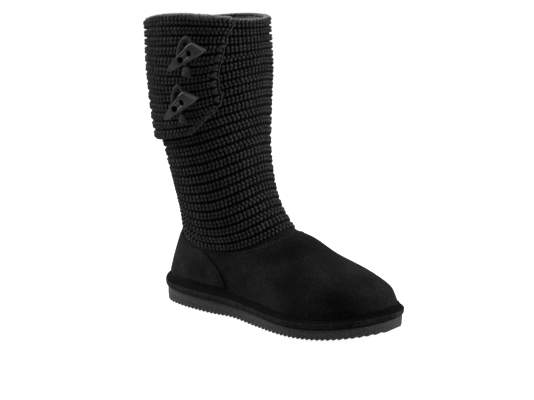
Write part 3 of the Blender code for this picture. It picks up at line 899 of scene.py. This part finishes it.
def build_insole(material):
    wall = raised(foot_point, INSOLE_LEVEL, round_angles(240), -(UPPER_WALL + INSOLE_GAP))
    middle = wall.copy()
    middle[:, 1] = wall[:, 1].mean()
    rings = []
    for inward, height in INSOLE_RINGS:
        ring = wall + (middle - wall) * inward
        ring[:, 2] = sole_top(ring[:, 0]) + CLEARANCE + INSOLE_THICK * height
        rings.append(ring)
    faces = grid_faces(len(rings), len(wall), closed_columns=True)
    make_piece("fleece_insole", np.concatenate(rings), faces, [material], "insole_fleece", ["insole"])


# Knit

def wall_ridge(rows):
    """Relief of the wall behind the stitches, from the number of ridges up to a place."""
    return WALL_SUNK + 0.3 * RIDGE_RELIEF * (1 - 2 * np.abs(2 * (rows % 1) - 1) ** 2)


def build_shaft_wall(material, lining, hem_shade_material):
    """The wall behind the stitches, and the fleece inside it."""
    around = round_angles(240)
    level, angle = grid(np.linspace(KNIT_START, 1, RIDGES * 6 + 1), around)
    outer = raised(shaft_point, level, angle, KNIT_PROUD + wall_ridge(level * RIDGES))
    # The lowest rings lie on the suede and in its collar, so no light shows between knit and suede
    hem = np.stack([raised(foot_point, low, around, up) for low, up in KNIT_HEM])
    level, angle = grid(np.linspace(1, KNIT_START, 60), around)
    inner = raised(shaft_point, level, angle, KNIT_PROUD - KNIT_WALL)
    top = (outer[-1:] + inner[:1]) / 2 + np.array([0, 0, 0.0004])
    # Painted shade: the hem where the knit meets the suede takes a yarn darker than the stitches
    which = [2] * len(hem) + [0] * len(outer) + [1] * (1 + len(inner))
    materials = [material, lining, hem_shade_material]
    make_hollow("knit_wall", [hem, outer, top, inner], materials, "shaft_knit", ["knit_shaft"], which)


def stitch_row(at, level, span, side, first, last, lift):
    """One row of slanting legs, half of a knitted ridge. at(level, angle, lift) gives points."""
    here = level + side * span * ROW_OFFSET
    angle = evenly(lambda turn: at(here, turn, 0.0), first, last)
    jitter = RANDOM.normal(0, 1, (len(angle), 5))
    angle = angle + jitter[:, 0] * 0.0018
    here = here + span * 0.012 * jitter[:, 1]
    along, up, out, scale = frames_at(at, here, angle)
    places = at(here, angle, lift + 0.00008 * jitter[:, 2])
    axis, across = turned(up, along, -side * (LEG_TILT + 0.05 * jitter[:, 3]))
    axis, depth = turned(axis, out, -side * LEG_LEAN)
    wide = STITCH_PITCH * LEG_WIDE * (1 + 0.40 * BACK_STRETCH * at_back(angle))
    deep = LEG_DEEP * (1 - 0.05 * at_back(angle))
    long = scale * abs(span) * LEG_LONG
    return copies(LEG, places, (across, depth, axis), (wide, deep, long), 1 + 0.045 * jitter[:, 4:5])


def leg_form():
    """One leg of a stitch: a plump leaf, fuller in the middle and a little flattened behind."""
    vertices, triangles = blob_form(8, 7)
    z = vertices[:, 2]
    vertices[:, :2] *= (1 - 0.10 * z)[:, None]
    vertices[:, 0] += 0.18 * z**2
    return vertices, triangles


LEG = leg_form()


def shaft_at(level, angle, lift):
    return raised(shaft_point, np.clip(level, 0, 1), angle, lift)


def build_shaft_stitches(material):
    """The shaft's ridges, each of two rows of legs, in blocks of several ridges."""
    for block, start in enumerate(range(0, RIDGES, BLOCK_RIDGES)):
        parts = []
        for ridge in range(start, min(start + BLOCK_RIDGES, RIDGES)):
            level, span = (ridge + 0.5) / RIDGES, SHAFT_ROWS / RIDGES
            for side in (1, -1):
                lift = KNIT_PROUD - LEG_SUNK
                parts.append(stitch_row(shaft_at, level, span, side, 0, 2 * math.pi, lift))
        make_merged("shaft_stitches_%d" % (block + 1), parts, material, "shaft_knit")


def flap_warp(drop, angle):
    """Ridges pushed aside by the toggles' thongs."""
    moved = np.zeros(np.broadcast(drop, angle).shape)
    for _, at_drop, degrees, _ in TOGGLES:
        across = (angle - math.radians(degrees)) * SHAFT_WIDTH / 2
        above = (drop - at_drop) * FLAP_DROP
        near = np.exp(-((across / 0.015) ** 2) - (above / 0.013) ** 2)
        moved = moved + near * (0.0016 * np.sign(above) * np.minimum(np.abs(above) / 0.006, 1)) / FLAP_DROP
        right = np.exp(-(((across - 0.016) / 0.012) ** 2) - ((above - 0.006) / 0.012) ** 2)
        moved = moved + right * 0.0018 / FLAP_DROP
    return moved


def flap_at(drop, angle, lift):
    return flap_point(np.clip(drop + flap_warp(drop, angle), -0.01, 1.02), angle, lift)


def flap_edge(drop):
    return np.radians(curve(FLAP_EDGE, 1, drop))


def build_flap(material):
    """The flap's own wall behind its stitches, with rounded edges."""
    drop, share = grid(np.linspace(0, 1, FLAP_RIDGES * 6 + 1), np.linspace(0, 1, 120))
    edge = flap_edge(drop) - 0.012
    angle = edge + (-FLAP_PAST_BACK - edge) * share
    from_edge = np.minimum(np.minimum(share, 1 - share) * 0.15, (1 - drop) * FLAP_DROP)
    full = flap_outer_lift(drop) + wall_ridge(drop * FLAP_RIDGES) - flap_inner_lift(drop)
    full = full * rounding(from_edge / FLAP_ROUND)
    outer = raised(shaft_point, flap_level(drop), angle, flap_inner_lift(drop) + full)
    inner = raised(shaft_point, flap_level(drop), angle, flap_inner_lift(drop) - 0.0001)
    vertices, faces = shell(outer, inner, flipped=True)
    make_piece("flap_wall", vertices, faces, [material], "flap_knit", ["shaft_flap"])


def flap_line(drops, angles, lift):
    """Points and normals of a line on the flap."""
    return flap_point(drops, angles, lift), outward(shaft_point, flap_level(drops), angles)


def flap_edge_line(drops, inset, lift):
    """Points and normals of a line on the flap, a distance inside its front edge."""
    return flap_line(drops, flap_edge(drops) - inset / (SHAFT_WIDTH / 2), lift)


def build_flap_rows(material):
    """The flap's ridges, which stop short of its front edge."""
    parts = []
    span = 1 / FLAP_RIDGES
    for ridge in range(FLAP_RIDGES):
        margin = KNOT_MARGIN
        if ridge < FIRST_KNOT:
            margin = SLANT_MARGIN * 0.4
        elif ridge >= LAST_KNOT:
            margin = SLANT_MARGIN
        for side in (1, -1):
            drop = (ridge + 0.5) * span
            row = min(drop - side * span * ROW_OFFSET, 1.0)
            reach = float(flap_edge(row)) - margin / (SHAFT_WIDTH / 2)
            parts.append(stitch_row(flap_at, drop, -span, side, -FLAP_PAST_BACK, reach, -LEG_SUNK))
    make_merged("flap_stitches", parts, material, "flap_knit")


def knot_form():
    """Rounded cushion shape of the large stitches."""
    vertices, triangles = blob_form(16, 12)
    return np.sign(vertices) * np.abs(vertices) ** np.array([0.82, 1.0, 0.82]), triangles


def flap_knots():
    """Pairs of large stitches that close each ridge along the front edge."""
    parts = []
    span = 1 / FLAP_RIDGES
    for side in (1, -1):
        drop = (np.arange(FIRST_KNOT, LAST_KNOT) + 0.5 - side * KNOT_SPREAD) * span
        jitter = RANDOM.normal(0, 1, (len(drop), 3))
        angle = flap_edge(drop) - (KNOT_INSET + 0.0004 * jitter[:, 0]) / (SHAFT_WIDTH / 2)
        along, up, out, scale = frames_at(flap_at, drop, angle)
        axis, across = turned(up, along, side * KNOT_TURN + 0.10 * jitter[:, 1])
        sizes = (KNOT_WIDE, KNOT_DEEP, scale * span * KNOT_LONG)
        places = flap_at(drop, angle, -KNOT_SUNK)
        parts.append(copies(knot_form(), places, (across, -out, axis), sizes, 1 + 0.09 * jitter[:, 2:3]))
    return parts


def build_flap_stitches(material, edge_material):
    """Rows, large closing stitches, and the small stitches and selvage along the flap's edges."""
    build_flap_rows(material)
    parts = flap_knots()
    low = np.linspace(KNOTS_END, 1.0, 260)
    for inset, lift in ((0.0036, -0.0006), (0.0064, -0.0004)):
        parts.append(stitches(flap_edge_line(low, inset, lift), "slanting edge"))
    past = flap_line(np.linspace(0.0, 1.0, 300), 0.004 - FLAP_PAST_BACK, -0.0014)
    parts.append(stitches(past, "flap end"))
    sweep = np.linspace(float(flap_edge(1.0)) - 0.01, -FLAP_PAST_BACK, 400)
    parts.append(stitches(flap_line(HEM_DROP, sweep, -0.0012), "hem"))
    make_merged("flap_edge_stitches", parts, material, "flap_knit")
    high = flap_edge_line(np.linspace(0.0, KNOTS_END, 400), 0.0004, -0.0006)
    selvage = [stitches(high, "selvage"), stitches(flap_edge_line(low, 0.0010, -0.0012), "low selvage")]
    make_merged("flap_selvage", selvage, edge_material, "flap_knit")


def build_rim_stitches(material):
    """Short legs of yarn that turn over the rim, and over the fold where the flap begins."""
    fold = float(flap_edge(0.0))
    rows = [(0.0002, 0, 2 * math.pi, 0.8), (-0.0016, 0, 2 * math.pi, 1.5)]
    rows += [(0.0050, -FLAP_PAST_BACK, fold, 0.7), (0.0030, -FLAP_PAST_BACK, fold, 1.4)]
    parts = []
    for lift, first, last, lean in rows:
        angle = evenly(lambda turn: shaft_point(1.0, turn), first, last)
        jitter = RANDOM.normal(0, 1, (len(angle), 3))
        along, up, out, _ = frames_at(shaft_at, 0.997, angle)
        places = raised(shaft_point, 1.0, angle, lift) - up * 0.0012
        axis, depth = turned(up, -out, lean + 0.08 * jitter[:, 0])
        axis, across = turned(axis, along, 0.35 + 0.06 * jitter[:, 1])
        sizes = (STITCH_PITCH * 0.35, 0.0020, 0.0025)
        parts.append(copies(LEG, places, (across, depth, axis), sizes, 1 + 0.06 * jitter[:, 2:3]))
    make_merged("rim_stitches", parts, material, "shaft_knit")


def build_rim(material):
    """Tufts of the fleece lining that stand over the rim, and longer ones on the fold. Their fleece is
    lighter than the lining's, a painted highlight on the rim.
    """
    angle = RANDOM.uniform(0, 2 * math.pi, TUFTS)
    folded = np.sin((angle + FLAP_PAST_BACK) / (float(flap_edge(0.0)) + FLAP_PAST_BACK) * math.pi) > 0
    outermost = KNIT_PROUD - 0.0008 + 0.0040 * folded
    lift = RANDOM.uniform(KNIT_PROUD - KNIT_WALL - 0.0006, outermost, TUFTS)
    level = 0.9995
    places = raised(shaft_point, level, angle, lift)
    out = outward(shaft_point, level, angle)
    outwards = out * RANDOM.normal(-0.1, 0.6, (TUFTS, 1))
    lean = unit(np.array([0, 0, 1.0]) + outwards + RANDOM.normal(0, 0.35, (TUFTS, 3)))
    side = unit(np.cross(lean, out))
    length = RANDOM.uniform(*TUFT_LENGTHS, TUFTS) + 0.0008 * folded
    places[:, 2] += 0.0008 * folded
    axes = (side, unit(np.cross(lean, side)), lean)
    tufts = copies(blob_form(4, 3), places, axes, (TUFT_WIDTH, TUFT_WIDTH, length))
    make_merged("rim_fleece", [tufts], material, "insole_fleece")


# Fastening

def flap_frame(drop, degrees):
    """Origin on the flap's ridges with unit vectors to the right, up and outward."""
    angle = np.array(math.radians(degrees))
    level = np.array(flap_level(drop))
    step = 1e-3
    origin = raised(shaft_point, level, angle, flap_outer_lift(drop) + RIDGE_RELIEF)
    right = unit(shaft_point(level, angle + step) - shaft_point(level, angle - step))
    out = outward(shaft_point, level, angle)
    return Vector(origin), Vector(right), Vector(out).cross(Vector(right)), Vector(out)


def on_flap(flap, drop, degrees, right, up, lift):
    """Point over the flap that lies a distance to the right of and above a frame's origin."""
    origin, to_right, to_up, _ = flap
    angle = math.radians(degrees)
    for _ in range(6):
        point = Vector(flap_point(np.array(drop), np.array(angle), RIDGE_RELIEF + lift))
        offset = point - origin
        angle += (right - offset.dot(to_right)) / (SHAFT_WIDTH / 2)
        drop -= (up - offset.dot(to_up)) / FLAP_DROP
    return point


def toggle_dish(share, across):
    """Depth of the groove between the holes and of the soft rims round them."""
    run = np.clip(share, *TOGGLE_HOLES)
    away = math.hypot((share - run) * TOGGLE_LENGTH, across)
    return GROOVE_DEPTH * math.exp(-((away / GROOVE_WIDTH) ** 4))


def toggle_rings(place, along, side, out):
    """Sections of a toggle from its tip to its wide end, which is cut obliquely."""
    shares = np.concatenate([[0.0, 0.006, 0.018], np.linspace(0.035, 0.965, 56), [0.985, 1.0]])
    profile = [(-across, height) for across, height in reversed(TOGGLE_EDGE)]
    profile += [(across, 1.0) for across in np.linspace(-0.80, 0.80, 19)] + list(TOGGLE_EDGE)
    rings = []
    for share in shares:
        half = TOGGLE_WIDTH / 2 * float(curve(TOGGLE_FORM, 1, min(share, 0.95)))
        high = TOGGLE_THICK * float(curve(TOGGLE_FORM, 2, min(share, 0.95)))
        skew = TOGGLE_SKEW * float(part_way(share, SKEW_START, 1))
        ring = []
        for across, height in profile:
            lift = high * height
            if height == 1.0:
                lift -= toggle_dish(share, across * half)
            if share > 0.97:
                lift *= 1 - 0.12 * (share - 0.97) / 0.03 * (height > 0.5)
            ahead = (share - 0.5) * TOGGLE_LENGTH - skew * across * half
            ring.append(place + along * ahead + side * across * half + out * lift)
        rings.append(ring)
    return np.array(rings)


def toggle_object(name, rings, materials):
    """Closed object from rings of points, with its bevels sharp."""
    count, columns = rings.shape[:2]
    size = count * columns
    faces = grid_faces(count, columns, closed_columns=True).tolist()
    for row, hub in ((0, size), (count - 1, size + 1)):
        start = row * columns
        faces += [[start + column, start + (column + 1) % columns, hub] for column in range(columns)]
    mesh = bmesh.new()
    points = [*rings.reshape(-1, 3), rings[0].mean(axis=0), rings[-1].mean(axis=0)]
    made = [mesh.verts.new(point) for point in points]
    for face in faces:
        mesh.faces.new([made[index] for index in face])
    bmesh.ops.recalc_face_normals(mesh, faces=mesh.faces)
    data = bpy.data.meshes.new(name)
    mesh.to_mesh(data)
    mesh.free()
    data.shade_smooth()
    data.set_sharp_from_angle(angle=math.radians(38))
    for material in materials:
        data.materials.append(material)
    return link_object(name, data)


def cut_hole(made, place, axis):
    """Bores one hole through a toggle and drops the cutter."""
    mesh = bmesh.new()
    sizes = {"radius1": TOGGLE_HOLE / 2, "radius2": HOLE_MOUTH, "depth": TOGGLE_THICK * 3}
    bmesh.ops.create_cone(mesh, cap_ends=True, segments=28, **sizes)
    cutter = link_mesh("cutter", mesh)
    cutter.matrix_world = axis.to_track_quat("Z", "Y").to_matrix().to_4x4()
    cutter.location = place
    cut = made.modifiers.new("hole", "BOOLEAN")
    cut.operation = "DIFFERENCE"
    cut.object = cutter
    bpy.context.view_layer.update()
    graph = bpy.context.evaluated_depsgraph_get()
    result = bpy.data.meshes.new_from_object(made.evaluated_get(graph))
    made.modifiers.clear()
    made.data = result
    bpy.data.objects.remove(cutter, do_unlink=True)


def shade_hole(name, place, out, side, dark):
    """Dark disc tucked into the bottom of a hole: painted shade inside the hole."""
    axes = [np.array([axis]) for axis in (side, out.cross(side), out)]
    shade_disc = copies(blob_form(12, 8), np.array([place]), axes, (0.0024, 0.0024, 0.0008))
    make_merged("hole_shade_disc_" + name, [shade_disc], dark, "loop_%s_cord" % name)


def build_toggle(name, drop, degrees, raised_by, material, bevel_highlight, dark):
    """Tapered horn whose bevels are lighter as a painted highlight, with two holes and a shallow groove
    between them.
    """
    flap = flap_frame(drop, degrees)
    origin, right, up, out = flap
    tilt = math.radians(raised_by)
    along = right * math.cos(tilt) + up * math.sin(tilt)
    side = out.cross(along)
    place = origin + out * (THONG + 3 * CLEARANCE)
    rings = toggle_rings(place, along, side, out)
    made = toggle_object("horn_toggle_" + name, rings, (material, dark, bevel_highlight))
    holes = [place + along * (share - 0.5) * TOGGLE_LENGTH for share in TOGGLE_HOLES]
    for hole in holes:
        cut_hole(made, hole, out)
        # Painted shade: a near-black disc at the bottom of each hole
        shade_hole(name, hole + out * 0.0006, out, side, dark)
    for face in made.data.polygons:
        # Painted highlight: faces of the bevels take the lighter horn
        if 0.2 < face.normal.dot(out) < 0.93:
            face.material_index = 2
        # Painted shade: the walls of the holes take the near-black material
        for hole in holes:
            away = face.center - hole
            if (away - out * away.dot(out)).length < HOLE_MOUTH and abs(face.normal.dot(out)) < 0.5:
                face.material_index = 1
    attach(made, "root")
    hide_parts("toggle_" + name)
    return flap


def tube(points, normals, width, thick, sides=10):
    """Flattened tube along points, widest across the normals."""
    ahead = unit(np.gradient(points, axis=0))
    across = unit(np.cross(normals, ahead))
    turn = np.linspace(0, 2 * math.pi, sides, endpoint=False)
    ring = across[:, None] * (np.cos(turn) * width / 2)[None, :, None]
    ring = ring + normals[:, None] * (np.sin(turn) * thick / 2)[None, :, None]
    return points[:, None] + ring


def build_thong(name, drop, degrees, flap, material, dark):
    """Thong whose ends sink into the knit, with painted shade where the toggle covers it."""
    lift = THONG / 2 + CLEARANCE
    path = []
    for right, up in THONG_PATH:
        path.append(on_flap(flap, drop, degrees, right * TOGGLE_LENGTH, up * TOGGLE_LENGTH, lift))
    table = [(index, *point) for index, point in enumerate(path)]
    at = np.linspace(0, len(path) - 1, 90)
    points = np.stack([curve(table, column, at) for column in (1, 2, 3)], axis=-1)
    end = np.minimum(at, len(path) - 1 - at)
    out = np.array(flap[3])
    points -= out * (0.0022 * (1 - smooth_step(np.clip(end / 0.8, 0, 1))))[:, None]
    rings = tube(points, np.tile(out, (len(at), 1)), THONG * 1.6, THONG * 0.9)
    faces = grid_faces(len(at), rings.shape[1], closed_columns=True)
    # Painted shade: the part under the toggle takes the near-black material
    covered = ((at[:-1] > 0.9) & (at[:-1] < 3.3)).repeat(rings.shape[1])
    where = ("loop_%s_cord" % name, ["loop_" + name])
    make_piece("thong_" + name, rings.reshape(-1, 3), faces, [material, dark], *where, covered)


def build_thong_end(name, drop, degrees, flap, material):
    """The end of the thong, pressed flat on the knit below the toggle."""
    tab = []
    for share in np.linspace(0, 1, 9):
        row = []
        for across in np.linspace(-1, 1, 7):
            x = (-0.06 + 0.10 * across * (0.55 + 0.75 * share)) * TOGGLE_LENGTH
            y = (-0.22 - 0.20 * share - 0.03 * across) * TOGGLE_LENGTH
            swell = 0.0010 * (1 - across**4) * (1 - (2 * share - 1) ** 6)
            row.append(on_flap(flap, drop, degrees, x, y, -0.0004 + swell))
        tab.append(row)
    tab = np.array(tab)
    faces = grid_faces(*tab.shape[:2])
    make_piece("thong_end_" + name, tab.reshape(-1, 3), faces, [material], "loop_%s_cord" % name)


# Stage

def build_stage():
    mesh = bmesh.new()
    bmesh.ops.create_grid(mesh, x_segments=1, y_segments=1, size=6.0)
    floor = link_mesh("floor", mesh)
    floor.visible_diffuse = False
    floor.visible_glossy = False
    white = Nodes("floor white", (0.5, 0.5, 0.5), 0.9)
    white.set("Emission Color", (1.0, 1.0, 1.0, 1.0))
    white.set("Emission Strength", FLOOR_GLOW)
    white.tree.nodes.remove(white.place.node)
    floor.data.materials.append(white.material)


def area_light(name, place, size, power):
    data = bpy.data.lights.new(name, "AREA")
    data.shape = "RECTANGLE"
    data.size, data.size_y = size
    data.energy = power
    light = link_object(name, data)
    light.location = place
    light.rotation_euler = (Vector(LIT_PLACE) - Vector(place)).to_track_quat("-Z", "Y").to_euler()


def build_lights():
    """A backdrop that is white to the eye, and gives the boot only a soft fill, stronger from below."""
    world = bpy.data.worlds.new("studio")
    world.use_nodes = True
    tree = world.node_tree
    background = tree.nodes["Background"]
    background.inputs["Color"].default_value = (1.0, 1.0, 1.0, 1.0)
    rays = tree.nodes.new("ShaderNodeLightPath")
    place = tree.nodes.new("ShaderNodeTexCoord")
    axes = tree.nodes.new("ShaderNodeSeparateXYZ")
    tree.links.new(place.outputs["Generated"], axes.inputs["Vector"])
    fill = map_range(tree, axes.outputs["Z"], -0.4, 0.2, FLOOR_FILL, SKY_FILL)
    strength = map_range(tree, rays.outputs["Is Camera Ray"], 0.0, 1.0, 0.0, 1.0)
    tree.links.new(fill.outputs["Result"], strength.inputs["To Min"])
    tree.links.new(strength.outputs["Result"], background.inputs["Strength"])
    bpy.context.scene.world = world
    for light in LIGHTS:
        area_light(*light)


def build_camera():
    a, e = math.radians(CAMERA_AZIMUTH), math.radians(CAMERA_ELEVATION)
    back = Vector((math.sin(a) * math.cos(e), -math.cos(a) * math.cos(e), math.sin(e)))
    lowered = math.radians(CAMERA_ELEVATION + CAMERA_DROP)
    aim = Vector((math.sin(a) * math.cos(lowered), -math.cos(a) * math.cos(lowered), math.sin(lowered)))
    data = bpy.data.cameras.new("camera")
    data.sensor_width = 36.0
    data.lens = CAMERA_LENS
    data.clip_start, data.clip_end = 0.05, 50.0
    camera = link_object("camera", data)
    camera.location = Vector(CAMERA_TARGET) + back * CAMERA_DISTANCE
    camera.rotation_euler = (-aim).to_track_quat("-Z", "Y").to_euler()
    bpy.context.scene.camera = camera


# The whole boot

def build_foot():
    lining = fleece("grey fleece", 0.030, 0.085)
    band_suede = suede("band suede", 0.0030, 0.0520, 0.09)
    build_upper(suede("black suede", 0.0014, 0.0240, 0.13), lining)
    build_counter(suede("counter suede", 0.0022, 0.0320, 0.08))
    build_seams(thread("seam thread", 0.046), suede("folded suede with painted highlight", 0.0100, 0.0700, 0.10))
    # The band's darker suede and its thread, darker than the seam thread, are painted shade in the band's
    # crease and tuck
    build_band(band_suede, suede("band suede in painted shade", 0.0010, 0.0090, 0.02), thread("band thread in painted shade", 0.009))
    build_outsole(foam("grey foam", 0.040, 0.108))
    build_insole(lining)
    return lining


def build_knit(lining):
    knit = yarn("charcoal yarn", 0.031, 0.092)
    behind = yarn("yarn in shade", 0.0030, 0.0080)
    build_shaft_wall(behind, lining, yarn("hem yarn in painted shade", 0.008, 0.024))
    build_shaft_stitches(knit)
    build_flap(behind)
    build_flap_stitches(knit, yarn("edge yarn", 0.080, 0.170))
    build_rim_stitches(knit)
    # Painted highlight: the rim's tufts take a fleece much lighter than the lining
    build_rim(fleece("rim fleece with painted highlight", 0.120, 0.420))


def build_fastening():
    leather = suede("thong suede", 0.040, 0.115, 0.05)
    # Near-black material for painted shade in the toggles' holes and under the toggles
    dark = thread("hole shade", 0.002)
    for name, drop, degrees, raised_by in TOGGLES:
        # The dull horn is the toggles' own colour; its lighter copy on the bevels is a painted highlight
        dull = horn("dark horn " + name, 0.032, 0.066)
        highlit_bevel = horn("painted highlight horn " + name, 0.085, 0.160)
        flap = build_toggle(name, drop, degrees, raised_by, dull, highlit_bevel, dark)
        build_thong(name, drop, degrees, flap, leather, dark)
        build_thong_end(name, drop, degrees, flap, leather)


def build():
    build_knit(build_foot())
    build_fastening()
    build_stage()
    build_lights()
    build_camera()
    bpy.context.scene.view_settings.view_transform = "Standard"


build()
